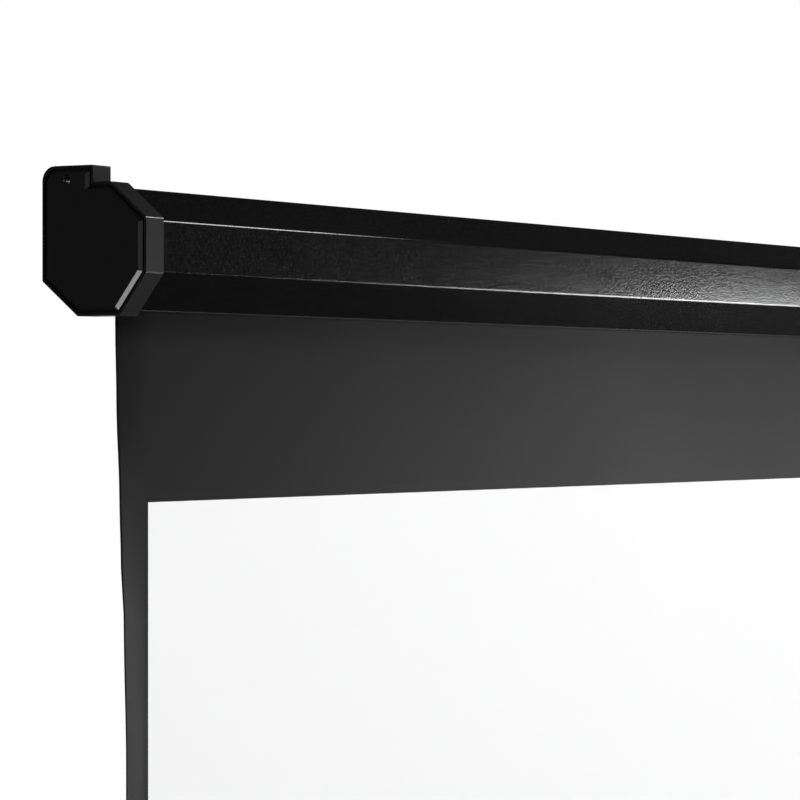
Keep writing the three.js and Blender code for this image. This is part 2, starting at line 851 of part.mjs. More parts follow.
// The mean radius is large enough for the middle of each facet to clear the snouts
function springPath() {
  const facetMiddle = springSnoutRadius + seatGap + springWire / 2;
  const radius = facetMiddle / Math.cos(Math.PI / springStepsPerCoil);
  const length = springEnd() - springStart() - 2 * springWire;
  return new SpringPath(radius, length, springCoils, springWire);
}

function torsionSpring() {
  const path = springPath();
  const wire = new THREE.Shape(circle(springWire / 2, springSides));
  const geometry = new THREE.ExtrudeGeometry(wire, {
    steps: springCoils * springStepsPerCoil + 2, extrudePath: path, bevelEnabled: false });
  geometry.translate(rightFace() - springEnd() + springWire, 0, 0);
  return facingOut(geometry);
}

// Least gap between neighbouring turns, measured between points one coil apart
function springGap() {
  const count = springCoils * springStepsPerCoil;
  const points = springPath().getSpacedPoints(count);
  let least = Infinity;
  for (let i = 0; i < count; i += 1) {
    for (let j = i + springStepsPerCoil / 2; j <= Math.min(i + 2 * springStepsPerCoil, count); j += 1) {
      least = Math.min(least, points[i].distanceTo(points[j]) - springWire);
    }
  }
  return least;
}

// Sheet

function wrapRadius(turns) {
  return wrapEndRadius - wrapPitch * turns;
}

// What stays on the roller when the screen is down, from the rear tangent over the top
function wrapOutline() {
  const steps = Math.round(wrapTurns * wrapStepsPerTurn);
  const side = (thickness) => Array.from({ length: steps + 1 }, (_, i) => {
    const turns = (wrapTurns * i) / steps;
    const radius = wrapRadius(turns) + thickness;
    const angle = 2 * Math.PI * turns;
    return point(radius * Math.cos(angle), radius * Math.sin(angle));
  });
  return [...side(sheetThickness), ...side(0).reverse()];
}

function wrapGeometry() {
  return facingOut(prism(wrapOutline(), -sheetWidth / 2, sheetWidth / 2));
}

function sheetGeometry() {
  const hemEnd = barTop + channelCentre() + hemSplineRadius + seatGap;
  const tangentEnd = axleHeight - seatGap;
  return prism(rectangle(-sheetThickness / 2, sheetThickness / 2, hemEnd, tangentEnd),
    -sheetWidth / 2, sheetWidth / 2);
}

function pictureGeometry() {
  const front = -sheetThickness / 2 - coatThickness;
  const low = barTop + lowerBorder;
  return prism(rectangle(front, -sheetThickness / 2, low, low + viewHeight), -viewWidth / 2, viewWidth / 2);
}

// Bottom bar, drawn round the hanging sheet with its top at z = 0

const barSteps = [barFootSteps, barFootSteps, cornerSteps, cornerSteps];

function barOutline(inset = 0) {
  const half = barWidth / 2;
  const corners = insetPolygon(rectangle(-half, half, -barHeight, 0), inset);
  const foot = Math.max(barFootRadius - inset, 0);
  const top = Math.max(barTopRadius - inset, 0);
  return roundedPolygon(corners, [foot, foot, top, top], barSteps);
}

function channelCentre() {
  return -barWall - barChannel / 2;
}

function barCavity(inset = 0) {
  const half = barWidth / 2 - barWall - inset;
  const roof = channelCentre() - barChannel / 2 - barWall - inset;
  const foot = Math.max(barFootRadius - barWall - inset, 0);
  const corners = rectangle(-half, half, -barHeight + barWall + inset, roof);
  return roundedPolygon(corners, [foot, foot, 0, 0], barSteps);
}

function bottomBar() {
  const half = barLength / 2;
  const over = half + cutOverrun;
  return geometryOf(cut(
    bar(barOutline(), -half, half),
    bar(barCavity(), -over, over),
    bar(circle(barChannel / 2, smallFaces, 0, channelCentre()), -over, over),
    bar(rectangle(-barMouth / 2, barMouth / 2, channelCentre(), cutOverrun), -over, over),
    ...handleScrewPlaces().map((x) => solid(rod(handleScrewShank / 2 + seatGap,
      vector(x, 0, -barHeight - cutOverrun), vector(x, 0, -barHeight + barWall + cutOverrun), screwFaces))),
  ));
}

function barCap(side) {
  const inner = side * barLength / 2;
  const face = stack([
    { x: inner + side * seatGap, outline: barOutline(-seatGap) },
    { x: inner + side * (barCapThickness - barWall), outline: barOutline(-seatGap) },
    { x: inner + side * barCapThickness, outline: barOutline(barWall - seatGap) },
  ]);
  const plug = bar(barCavity(seatGap), inner - side * barCapPlug, inner + side * (seatGap + barWall));
  return geometryOf(joined(solid(face), plug));
}

// Pull handle. The saddle hugs the bar's foot; the bail swings on pins in its two lugs.

function handleScrewPlaces() {
  return [-handleScrewSpacing / 2, handleScrewSpacing / 2];
}

function pivotDrop() {
  return barHeight + saddleWall + lugDrop;
}

function handleSaddle() {
  const half = saddleLength / 2;
  const saddleFoot = -barHeight - saddleWall;
  const outside = barOutline(-saddleWall - seatGap);
  const inside = barOutline(-seatGap);
  const lid = rectangle(-barWidth, barWidth, -barHeight + saddleRise, barHeight);
  let body = cut(bar(outside, -half, half),
    bar(inside, -half - cutOverrun, half + cutOverrun),
    bar(lid, -half - cutOverrun, half + cutOverrun));
  for (const side of [-1, 1]) {
    const lug = [
      ...circle(lugRadius, smallFaces, 0, -pivotDrop()).filter((p) => p.y < -pivotDrop()),
      point(lugRadius, saddleFoot), point(-lugRadius, saddleFoot),
    ];
    body = body.add(bar(lug, side * (half - lugThickness), side * half));
  }
  const pin = bar(circle(handlePinRadius + seatGap, smallFaces, 0, -pivotDrop()),
    -half - cutOverrun, half + cutOverrun);
  const shanks = handleScrewPlaces().map((x) => solid(rod(handleScrewShank / 2 + seatGap,
    vector(x, 0, saddleFoot - cutOverrun), vector(x, 0, -barHeight + cutOverrun), screwFaces)));
  const heads = handleScrewPlaces().map((x) => solid(rod(handleScrewHead / 2 + seatGap,
    vector(x, 0, saddleFoot - cutOverrun), vector(x, 0, saddleFoot + handleScrewRecess), screwFaces)));
  return geometryOf(cut(body, pin, ...shanks, ...heads));
}

function handleScrewSeat() {
  return -barHeight - saddleWall + handleScrewRecess - seatGap;
}

function handleScrew() {
  return crossScrew(1, handleScrewHead, handleScrewHeadHeight, handleScrewShank, handleScrewLength)
    .rotateY(-Math.PI / 2);
}

// The bail, drawn round its pivot axis: two pins, two legs, a bottom bar and a fatter grip
function pullHandle() {
  const leg = saddleLength / 2 + turnGap + handleBar / 2;
  const corner = handleCornerRadius;
  const path = new THREE.CurvePath();
  const arc = (from, middle, to) => new THREE.QuadraticBezierCurve3(from, middle, to);
  const leftTop = vector(-leg, 0, 0);
  const leftFoot = vector(-leg, 0, -handleDrop + corner);
  const rightFoot = vector(leg, 0, -handleDrop + corner);
  path.add(new THREE.LineCurve3(leftTop, leftFoot));
  path.add(arc(leftFoot, vector(-leg, 0, -handleDrop), vector(-leg + corner, 0, -handleDrop)));
  path.add(new THREE.LineCurve3(
    vector(-leg + corner, 0, -handleDrop), vector(leg - corner, 0, -handleDrop)));
  path.add(arc(vector(leg - corner, 0, -handleDrop), vector(leg, 0, -handleDrop), rightFoot));
  path.add(new THREE.LineCurve3(rightFoot, vector(leg, 0, 0)));
  const section = new THREE.Shape(circle(handleBar / 2, screwFaces));
  const bail = new THREE.ExtrudeGeometry(
    section, { steps: bailSteps, extrudePath: path, bevelEnabled: false });
  const gripEnd = gripLength / 2 + gripTaper;
  const grip = turned([
    [-gripEnd, 0], [-gripEnd, handleBar / 2], [-gripLength / 2, gripRadius],
    [gripLength / 2, gripRadius], [gripEnd, handleBar / 2], [gripEnd, 0],
  ], smallFaces).translate(0, 0, -handleDrop);
  const pieces = [solid(bail), solid(grip)];
  for (const side of [-1, 1]) {
    const eye = leg + handleBar / 2;
    const inner = leg - handleBar / 2 - turnGap - handlePinReach;
    pieces.push(solid(rod(handlePinRadius, vector(side * inner, 0, 0), vector(side * leg, 0, 0))));
    pieces.push(solid(rod(handleBar / 2, vector(side * (eye - handleBar), 0, 0), vector(side * eye, 0, 0))));
  }
  return geometryOf(joined(...pieces));
}

// Scene

function finish(color, roughness, metalness) {
  return new THREE.MeshStandardMaterial({ color, roughness, metalness });
}

const powderCoat = finish(0x141414, 0.5, 0.2);
const blackPlastic = finish(0x111111, 0.55, 0);
const zinc = finish(0xa9adb2, 0.35, 1);
const steel = finish(0x8d9095, 0.3, 1);
const nylon = finish(0xdad8cf, 0.5, 0);
const springSteel = finish(0x55585c, 0.35, 1);
const blackSheet = finish(0x1d1d1f, 0.8, 0);
const matteWhite = finish(0xf4f5f7, 0.9, 0);
const blackAnodised = finish(0x17181a, 0.4, 0.6);

function add(group, name, geometry, material, x = 0, y = 0, z = 0) {
  const mesh = new THREE.Mesh(geometry, material.clone());
  mesh.name = name;
  mesh.position.set(x, y, z);
  group.add(mesh);
  return mesh;
}

function groupAt(parent, x, y, z) {
  const group = new THREE.Group();
  group.position.set(x, y, z);
  parent.add(group);
  return group;
}

const screen = new THREE.Group();

add(screen, 'case_housing', caseHousing(), powderCoat);

const ends = [['left', 1, bushingHole()], ['right', -1, tangSlot()]];
for (const [side, inward, axleCut] of ends) {
  const end = groupAt(screen, -inward * totalLength / 2, 0, 0);
  add(end, `${side}_end_bracket`, endBracket(inward), blackPlastic);
  add(end, `${side}_end_cover`, endCover(inward), blackPlastic);
  add(end, `${side}_support_plate`, supportPlate(inward, axleCut), zinc);
  portCentres().forEach((port, i) => add(end, `${side}_case_screw_${i + 1}`, caseScrew(inward), zinc,
    inward * (webStart - seatGap), port.x, port.y));
}

const axle = axleCentre();
const roller = groupAt(screen, 0, axle.x, axle.y);
add(roller, 'idle_bushing', idleBushing(), nylon);
add(roller, 'idle_pin', idlePin(), steel);
add(roller, 'idle_plug', idlePlug(), nylon);
add(roller, 'roller_tube', rollerTube(), zinc);
add(roller, 'spindle', spindle(), steel);
add(roller, 'ratchet_wheel', ratchetWheel(), steel);
add(roller, 'pawl_carrier', pawlCarrier(), nylon);
add(roller, 'spindle_collar', spindleCollar(), nylon);
add(roller, 'torsion_spring', torsionSpring(), springSteel);
add(roller, 'spring_plug', springPlug(), nylon);
for (const [name, side] of [['pawl_a', 1], ['pawl_b', -1]]) {
  const lever = add(roller, name, pawl(), steel,
    pawlMiddle(), -side * pawlPivotForward, side * pawlPivotRise);
  lever.rotation.x = side > 0 ? 0 : Math.PI;
  add(roller, `${name}_rivet`, pawlPivotRivet(), steel, 0, -side * pawlPivotForward, side * pawlPivotRise);
}
plugPinPlaces().forEach((x, i) => {
  add(roller, `plug_pin_front_${i + 1}`, plugPinOn(-1), steel, x);
  add(roller, `plug_pin_rear_${i + 1}`, plugPinOn(1), steel, x);
});
add(roller, 'roller_spline', rod(rollerSplineRadius, vector(-sheetWidth / 2, 0, 0),
  vector(sheetWidth / 2, 0, 0)), blackPlastic, 0, 0, keywayCentre);
add(roller, 'sheet_wrap', wrapGeometry(), blackSheet);

const hanging = groupAt(screen, 0, -sheetSetback, 0);
add(hanging, 'screen_sheet', sheetGeometry(), blackSheet);
add(hanging, 'picture_surface', pictureGeometry(), matteWhite);
const weight = groupAt(hanging, 0, 0, barTop);
add(weight, 'bottom_bar', bottomBar(), blackAnodised);
add(weight, 'hem_spline', rod(hemSplineRadius, vector(-sheetWidth / 2, 0, 0),
  vector(sheetWidth / 2, 0, 0)), blackPlastic, 0, 0, channelCentre());
add(weight, 'left_bar_cap', barCap(-1), blackPlastic);
add(weight, 'right_bar_cap', barCap(1), blackPlastic);
add(weight, 'handle_saddle', handleSaddle(), blackPlastic);
handleScrewPlaces().forEach((x, i) =>
  add(weight, `handle_screw_${i + 1}`, handleScrew(), zinc, x, 0, handleScrewSeat()));
add(weight, 'pull_handle', pullHandle(), blackPlastic, 0, 0, -pivotDrop());

console.log(`least gap between spring turns: ${springGap().toFixed(2)} mm`);
console.log(`least gap between sheet wraps: ${(wrapPitch - sheetThickness).toFixed(2)} mm`);

export default screen;
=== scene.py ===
import json
import math

import bmesh
import bpy
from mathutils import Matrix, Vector


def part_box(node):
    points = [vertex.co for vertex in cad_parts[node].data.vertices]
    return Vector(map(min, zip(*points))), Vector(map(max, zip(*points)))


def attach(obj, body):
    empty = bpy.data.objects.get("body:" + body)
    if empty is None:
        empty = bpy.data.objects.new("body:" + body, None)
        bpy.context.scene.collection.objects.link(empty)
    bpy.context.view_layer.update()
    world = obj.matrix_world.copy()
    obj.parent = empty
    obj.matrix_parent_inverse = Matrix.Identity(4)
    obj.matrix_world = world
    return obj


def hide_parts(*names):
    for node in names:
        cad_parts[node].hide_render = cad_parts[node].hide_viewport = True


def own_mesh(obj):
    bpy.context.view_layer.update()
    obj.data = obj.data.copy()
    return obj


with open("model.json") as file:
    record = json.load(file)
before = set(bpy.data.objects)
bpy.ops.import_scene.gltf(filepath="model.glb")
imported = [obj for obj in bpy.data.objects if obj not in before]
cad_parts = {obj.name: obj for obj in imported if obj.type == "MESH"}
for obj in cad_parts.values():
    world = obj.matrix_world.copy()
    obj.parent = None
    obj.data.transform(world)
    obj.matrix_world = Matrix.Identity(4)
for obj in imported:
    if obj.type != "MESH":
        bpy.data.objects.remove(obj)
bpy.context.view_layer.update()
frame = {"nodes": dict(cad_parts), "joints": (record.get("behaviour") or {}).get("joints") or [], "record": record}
nodes = frame["nodes"]
bodyOfNode = {
    node: body
    for body, members in frame["record"]["behaviour"]["bodies"].items()
    for node in members
}
jointNamed = {joint["name"]: joint for joint in frame["joints"]}
print("frame loaded:", len(nodes), "nodes")


# camera

photoCamera = {
    "sensorWidth": 36.0,         # mm, as the focal length
    "focalLength": 167.449,
    "azimuth": 58.876,           # degrees from +Y towards +X
    "position": (-2.7986, -1.3384, -0.1452),
    "verticalShift": 0.01064,
    "nearest": 0.05,
    "farthest": 100.0,
}

cameraData = bpy.data.cameras.new("photoCamera")
cameraData.sensor_width = photoCamera["sensorWidth"]
cameraData.lens = photoCamera["focalLength"]
cameraData.shift_y = photoCamera["verticalShift"]
cameraData.clip_start = photoCamera["nearest"]
cameraData.clip_end = photoCamera["farthest"]
camera = bpy.data.objects.new("photoCamera", cameraData)
camera.location = photoCamera["position"]
camera.rotation_euler = (math.radians(90), 0, -math.radians(photoCamera["azimuth"]))
bpy.context.scene.collection.objects.link(camera)
bpy.context.scene.camera = camera
print("camera placed")


# shared shader groups

def shaderGroup(name, inputs, outputs):
    tree = bpy.data.node_groups.new(name, "ShaderNodeTree")
    for label, kind, value in inputs:
        socket = tree.interface.new_socket(label, in_out="INPUT", socket_type=kind)
        if value is not None:
            socket.default_value = value
    for label, kind in outputs:
        tree.interface.new_socket(label, in_out="OUTPUT", socket_type=kind)
    tree.nodes.new("NodeGroupInput").name = "given"
    tree.nodes.new("NodeGroupOutput").name = "result"
    return tree


def addNode(tree, kind, **settings):
    node = tree.nodes.new(kind)
    for key, value in settings.items():
        setattr(node, key, value)
    return node


def mathNode(tree, operation, first, second=None):
    node = addNode(tree, "ShaderNodeMath", operation=operation)
    for index, source in enumerate((first, second)):
        if source is None:
            continue
        if isinstance(source, (int, float)):
            node.inputs[index].default_value = source
        else:
            tree.links.new(source, node.inputs[index])
    return node.outputs[0]


def noiseOf(tree, vector, detail):
    noise = addNode(tree, "ShaderNodeTexNoise", noise_dimensions="3D")
    noise.inputs["Detail"].default_value = detail
    tree.links.new(vector, noise.inputs["Vector"])
    return noise


# noise keeps to its middle, so a share of its range is spread over all of it
grain = {"coarseDetail": 1.5, "fineDetail": 0.5, "fineTimes": 2.3, "pitShadeAndDullingRange": (0.35, 0.68),
         "driftDetail": 3.0, "driftRange": (0.3, 0.7)}


def makePebbleGroup():
    # the orange-peel relief of a powder coat or of spark-eroded moulded plastic, and a mask from its low places
    # that paints shade into its pits
    tree = shaderGroup(
        "pebbledRelief",
        [("Vector", "NodeSocketVector", None), ("Pebbles per metre", "NodeSocketFloat", 900.0),
         ("Fine share", "NodeSocketFloat", 0.4)],
        [("Height", "NodeSocketFloat"), ("Speckle", "NodeSocketFloat")],
    )
    given, result = tree.nodes["given"], tree.nodes["result"]
    coarse = noiseOf(tree, given.outputs["Vector"], grain["coarseDetail"])
    fine = noiseOf(tree, given.outputs["Vector"], grain["fineDetail"])
    tree.links.new(given.outputs["Pebbles per metre"], coarse.inputs["Scale"])
    tree.links.new(mathNode(tree, "MULTIPLY", given.outputs["Pebbles per metre"], grain["fineTimes"]),
                   fine.inputs["Scale"])
    weighted = mathNode(tree, "MULTIPLY", fine.outputs["Fac"], given.outputs["Fine share"])
    height = mathNode(tree, "ADD", coarse.outputs["Fac"], weighted)
    tree.links.new(height, result.inputs["Height"])
    # painted shade: the coarse relief, spread from 0 in its pits to 1 on its crowns, darkens the colour in the
    # pits and dulls the crowns
    spread = addNode(tree, "ShaderNodeMapRange")
    spread.inputs["From Min"].default_value, spread.inputs["From Max"].default_value = grain["pitShadeAndDullingRange"]
    tree.links.new(coarse.outputs["Fac"], spread.inputs["Value"])
    tree.links.new(spread.outputs["Result"], result.inputs["Speckle"])
    return tree


def makeDriftGroup():
    # slow variation over tens of millimetres, between two values
    tree = shaderGroup(
        "slowDrift",
        [("Vector", "NodeSocketVector", None), ("Patches per metre", "NodeSocketFloat", 12.0),
         ("Low", "NodeSocketFloat", 0.4), ("High", "NodeSocketFloat", 0.5)],
        [("Value", "NodeSocketFloat")],
    )
    given, result = tree.nodes["given"], tree.nodes["result"]
    noise = noiseOf(tree, given.outputs["Vector"], grain["driftDetail"])
    tree.links.new(given.outputs["Patches per metre"], noise.inputs["Scale"])
    spread = addNode(tree, "ShaderNodeMapRange")
    spread.inputs["From Min"].default_value, spread.inputs["From Max"].default_value = grain["driftRange"]
    tree.links.new(noise.outputs["Fac"], spread.inputs["Value"])
    tree.links.new(given.outputs["Low"], spread.inputs["To Min"])
    tree.links.new(given.outputs["High"], spread.inputs["To Max"])
    tree.links.new(spread.outputs["Result"], result.inputs["Value"])
    return tree


def makeWeaveGroup():
    # plain weave of a screen cloth, over and under, on coordinates in metres
    tree = shaderGroup(
        "plainWeave",
        [("Vector", "NodeSocketVector", None), ("Threads per metre", "NodeSocketFloat", 1400.0)],
        [("Height", "NodeSocketFloat")],
    )
    given, result = tree.nodes["given"], tree.nodes["result"]
    split = addNode(tree, "ShaderNodeSeparateXYZ")
    tree.links.new(given.outputs["Vector"], split.inputs[0])
    turns = mathNode(tree, "MULTIPLY", given.outputs["Threads per metre"], math.pi)
    across = mathNode(tree, "SINE", mathNode(tree, "MULTIPLY", split.outputs["X"], turns))
    down = mathNode(tree, "SINE", mathNode(tree, "MULTIPLY", split.outputs["Y"], turns))
    product = mathNode(tree, "MULTIPLY", across, down)
    halved = mathNode(tree, "MULTIPLY", product, 0.5)      # from -1 to 1 into 0 to 1
    tree.links.new(mathNode(tree, "ADD", halved, 0.5), result.inputs["Height"])
    return tree


pebbleGroup = makePebbleGroup()
driftGroup = makeDriftGroup()
weaveGroup = makeWeaveGroup()
print("shader groups built")


# materials

def placeGroup(tree, group, vector, **values):
    node = addNode(tree, "ShaderNodeGroup", node_tree=group)
    tree.links.new(vector, node.inputs["Vector"])
    for label, value in values.items():
        node.inputs[label.replace("_", " ")].default_value = value
    return node


def newMaterial(name):
    material = bpy.data.materials.new(name)
    material.use_nodes = True
    tree = material.node_tree
    shader = tree.nodes["Principled BSDF"]
    place = addNode(tree, "ShaderNodeTexCoord")
    return material, tree, shader, place.outputs["Object"]


def setShader(shader, **values):
    for label, value in values.items():
        shader.inputs[label.replace("_", " ")].default_value = value


def bumpInto(tree, shader, height, distance, strength=1.0):
    bump = addNode(tree, "ShaderNodeBump")
    bump.inputs["Strength"].default_value = strength
    bump.inputs["Distance"].default_value = distance
    tree.links.new(height, bump.inputs["Height"])
    tree.links.new(bump.outputs["Normal"], shader.inputs["Normal"])


def colourBetween(tree, factor, first, second):
    # a Mix node's sockets share their names, so its colours are found by place
    mix = addNode(tree, "ShaderNodeMix", data_type="RGBA")
    mix.inputs[6].default_value = (*first, 1.0)
    mix.inputs[7].default_value = (*second, 1.0)
    tree.links.new(factor, mix.inputs[0])
    return mix.outputs[2]


def grainedMaterial(name, look):
    # a coat or plastic with a fine pebbled relief, with painted shade darkening its pits, and duller on its crowns
    material, tree, shader, place = newMaterial(name)
    pebbles = placeGroup(tree, pebbleGroup, place,
                         Pebbles_per_metre=look["pebbles"], Fine_share=look["fineShare"])
    drift = placeGroup(tree, driftGroup, place, Patches_per_metre=look["patches"],
                       Low=look["roughness"][0], High=look["roughness"][1])
    # painted shade: where the relief is low, the colour goes to the darker pit colour
    tree.links.new(colourBetween(tree, pebbles.outputs["Speckle"], look["shadedPit"], look["crown"]),
                   shader.inputs["Base Color"])
    dulled = mathNode(tree, "MULTIPLY", pebbles.outputs["Speckle"], look["speckle"])
    tree.links.new(mathNode(tree, "ADD", drift.outputs["Value"], dulled), shader.inputs["Roughness"])
    setShader(shader, Specular_IOR_Level=look["specular"])
    bumpInto(tree, shader, pebbles.outputs["Height"], look["relief"])
    return material


drawing = {"detail": 2.0, "strength": 0.5}


def drawnMetal(name, look):
    # metal with fine drawing lines, as many to the metre as "lines" says on each axis
    material, tree, shader, place = newMaterial(name)
    squeeze = addNode(tree, "ShaderNodeMapping")
    squeeze.inputs["Scale"].default_value = look["lines"]
    tree.links.new(place, squeeze.inputs["Vector"])
    lines = noiseOf(tree, squeeze.outputs["Vector"], drawing["detail"])
    lines.inputs["Scale"].default_value = 1.0
    drift = placeGroup(tree, driftGroup, place, Patches_per_metre=look["patches"],
                       Low=look["roughness"][0], High=look["roughness"][1])
    tree.links.new(colourBetween(tree, lines.outputs["Fac"], look["dark"], look["light"]),
                   shader.inputs["Base Color"])
    tree.links.new(drift.outputs["Value"], shader.inputs["Roughness"])
    setShader(shader, Metallic=look["metallic"])
    bumpInto(tree, shader, lines.outputs["Fac"], look["relief"], drawing["strength"])
    return material


# in each look, the darker pit colour is painted shade in the pits of the relief, and the crown colour is the tone
# on its tops
coatLook = {"pebbles": 640.0, "fineShare": 0.35, "patches": 9.0, "roughness": (0.11, 0.13),
            "shadedPit": (0.0012, 0.0012, 0.0013), "crown": (0.003, 0.003, 0.0032),
            "specular": 0.26, "relief": 0.00008, "speckle": 0.1}
capLook = {"pebbles": 1800.0, "fineShare": 0.4, "patches": 16.0, "roughness": (0.28, 0.33),
           "shadedPit": (0.006, 0.0063, 0.006), "crown": (0.010, 0.0103, 0.010),
           "specular": 0.46, "relief": 0.00001, "speckle": 0.0}
trimLook = {"pebbles": 1600.0, "fineShare": 0.4, "patches": 20.0, "roughness": (0.36, 0.46),
            "shadedPit": (0.008, 0.008, 0.008), "crown": (0.014, 0.014, 0.014),
            "specular": 0.45, "relief": 0.00002, "speckle": 0.0}
nylonLook = {"pebbles": 700.0, "fineShare": 0.3, "patches": 40.0, "roughness": (0.4, 0.55),
             "shadedPit": (0.62, 0.6, 0.53), "crown": (0.7, 0.68, 0.61),
             "specular": 0.5, "relief": 0.00002, "speckle": 0.0}
splineLook = {"pebbles": 900.0, "fineShare": 0.3, "patches": 30.0, "roughness": (0.45, 0.6),
              "shadedPit": (0.02, 0.02, 0.02), "crown": (0.035, 0.035, 0.035),
              "specular": 0.4, "relief": 0.00001, "speckle": 0.0}
zincLook = {"lines": (60.0, 900.0, 900.0), "patches": 25.0, "roughness": (0.3, 0.45),
            "dark": (0.42, 0.44, 0.46), "light": (0.6, 0.62, 0.64), "metallic": 1.0,
            "relief": 0.00001}
steelLook = {"lines": (20.0, 1500.0, 1500.0), "patches": 25.0, "roughness": (0.22, 0.32),
             "dark": (0.4, 0.41, 0.42), "light": (0.56, 0.57, 0.58), "metallic": 1.0,
             "relief": 0.000008}
springLook = {"lines": (300.0, 300.0, 300.0), "patches": 60.0, "roughness": (0.28, 0.4),
              "dark": (0.14, 0.145, 0.15), "light": (0.26, 0.27, 0.28), "metallic": 1.0,
              "relief": 0.000008}
barLook = {"lines": (6.0, 1600.0, 1600.0), "patches": 7.0, "roughness": (0.3, 0.38),
           "dark": (0.012, 0.012, 0.013), "light": (0.02, 0.02, 0.022), "metallic": 0.6,
           "relief": 0.000006}

powderCoat = grainedMaterial("powderCoat", coatLook)
capPlastic = grainedMaterial("capPlastic", capLook)
trimPlastic = grainedMaterial("trimPlastic", trimLook)
nylonPlastic = grainedMaterial("nylonPlastic", nylonLook)
splinePlastic = grainedMaterial("splinePlastic", splineLook)
zincPlate = drawnMetal("zincPlate", zincLook)
brightSteel = drawnMetal("brightSteel", steelLook)
springSteel = drawnMetal("springSteel", springLook)
blackAnodised = drawnMetal("blackAnodised", barLook)

# each tone is a pair of colours: the darker is painted shade in the hollows of the weave, the lighter the tops of
# its threads
clothLook = {"threads": 1500.0, "relief": 0.00003, "patches": 5.0,
             "black": ((0.007, 0.007, 0.0073), (0.011, 0.011, 0.0115)),
             "white": ((0.86, 0.86, 0.862), (0.89, 0.89, 0.892)),
             "blackRoughness": (0.4, 0.44), "whiteRoughness": (0.8, 0.9),
             "blackSpecular": 0.03, "whiteSpecular": 0.25}


def clothMaterial(name, tone):
    material, tree, shader, place = newMaterial(name)
    low, high = clothLook[f"{tone}Roughness"]
    along = addNode(tree, "ShaderNodeUVMap", uv_map="clothMetres").outputs["UV"]
    weave = placeGroup(tree, weaveGroup, along, Threads_per_metre=clothLook["threads"])
    drift = placeGroup(tree, driftGroup, place, Patches_per_metre=clothLook["patches"],
                       Low=low, High=high)
    # painted shade: the weave's low places take the darker colour of the pair
    tree.links.new(colourBetween(tree, weave.outputs["Height"], *clothLook[tone]),
                   shader.inputs["Base Color"])
    tree.links.new(drift.outputs["Value"], shader.inputs["Roughness"])
    setShader(shader, Specular_IOR_Level=clothLook[f"{tone}Specular"])
    bumpInto(tree, shader, weave.outputs["Height"], clothLook["relief"])
    return material


blackCloth = clothMaterial("blackCloth", "black")
whiteCloth = clothMaterial("whiteCloth", "white")
print("materials built")


# the rigid pieces: copies of the CAD solids with every hard edge broken

# each broken edge has a width in metres and a number of steps
edges = {"bracket": (0.0004, 3), "cover": (0.0009, 4), "barCap": (0.0006, 3),
         "saddle": (0.0006, 3), "bar": (0.0003, 2)}
copying = {"mergeWithin": 0.000002,      # metres
           "flatWithin": 0.6,            # degrees between two faces that are taken as one
           "sharpFrom": 28.0}            # degrees between two faces that meet in a hard edge


def mergedCopy(node):
    work = bmesh.new()
    work.from_mesh(nodes[node].data)
    bmesh.ops.remove_doubles(work, verts=work.verts, dist=copying["mergeWithin"])
    bmesh.ops.dissolve_limit(work, angle_limit=math.radians(copying["flatWithin"]), verts=work.verts,
                             edges=work.edges, delimit=set())
    mesh = bpy.data.meshes.new(node)
    work.to_mesh(mesh)
    work.free()
    return mesh


def linked(name, mesh):
    piece = bpy.data.objects.new(name, mesh)
    bpy.context.scene.collection.objects.link(piece)
    return piece


def settled(piece):
    # modifiers become plain mesh
    bpy.context.view_layer.update()
    graph = bpy.context.evaluated_depsgraph_get()
    mesh = bpy.data.meshes.new_from_object(piece.evaluated_get(graph))
    piece.modifiers.clear()
    piece.data = mesh


def flatFaces(piece):
    # the large faces shade flat, and their broken edges take up the turn
    for polygon in piece.data.polygons:
        polygon.use_smooth = True
    piece.modifiers.new("flatFaces", "WEIGHTED_NORMAL").weight = 100


def finished(piece, body, slotName, *replaced):
    settled(piece)
    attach(piece, body)
    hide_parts(*replaced)


def breakEdges(piece, edge):
    bevel = piece.modifiers.new("brokenEdges", "BEVEL")
    bevel.width, bevel.segments = edge
    bevel.limit_method = "ANGLE"
    bevel.angle_limit = math.radians(copying["sharpFrom"])
    bevel.use_clamp_overlap = True


def dressed(node, name, material, slotName, edge):
    piece = linked(name, mergedCopy(node))
    piece.data.materials.clear()
    piece.data.materials.append(material)
    breakEdges(piece, edge)
    flatFaces(piece)
    finished(piece, bodyOfNode[node], slotName, node)


for side in ("left", "right"):
    dressed(f"{side}_end_bracket", f"{side}EndBracket", capPlastic, "cap_plastic", edges["bracket"])
    dressed(f"{side}_end_cover", f"{side}EndCover", capPlastic, "cap_plastic", edges["cover"])
    dressed(f"{side}_bar_cap", f"{side}BarCap", trimPlastic, "trim_plastic", edges["barCap"])
dressed("bottom_bar", "bottomBar", blackAnodised, "bar_finish", edges["bar"])
dressed("handle_saddle", "handleSaddle", trimPlastic, "trim_plastic", edges["saddle"])
print("rigid pieces dressed")


# what the Geometry Nodes trees share

def nodeTree(name, inputs):
    tree = bpy.data.node_groups.new(name, "GeometryNodeTree")
    tree.interface.new_socket("Geometry", in_out="INPUT", socket_type="NodeSocketGeometry")
    for label, kind in inputs:
        tree.interface.new_socket(label, in_out="INPUT", socket_type=kind)
    tree.interface.new_socket("Geometry", in_out="OUTPUT", socket_type="NodeSocketGeometry")
    return tree, tree.nodes.new("NodeGroupInput").outputs


def chained(tree, source, kind, **settings):
    # one more node on a line of geometry
    node = addNode(tree, kind, **settings)
    tree.links.new(source, node.inputs[0])
    return node


def closeTree(tree, geometry, finish):
    realized = chained(tree, geometry, "GeometryNodeRealizeInstances")
    coloured = chained(tree, realized.outputs[0], "GeometryNodeSetMaterial")
    tree.links.new(finish, coloured.inputs["Material"])
    result = tree.nodes.new("NodeGroupOutput")
    tree.links.new(coloured.outputs[0], result.inputs[0])


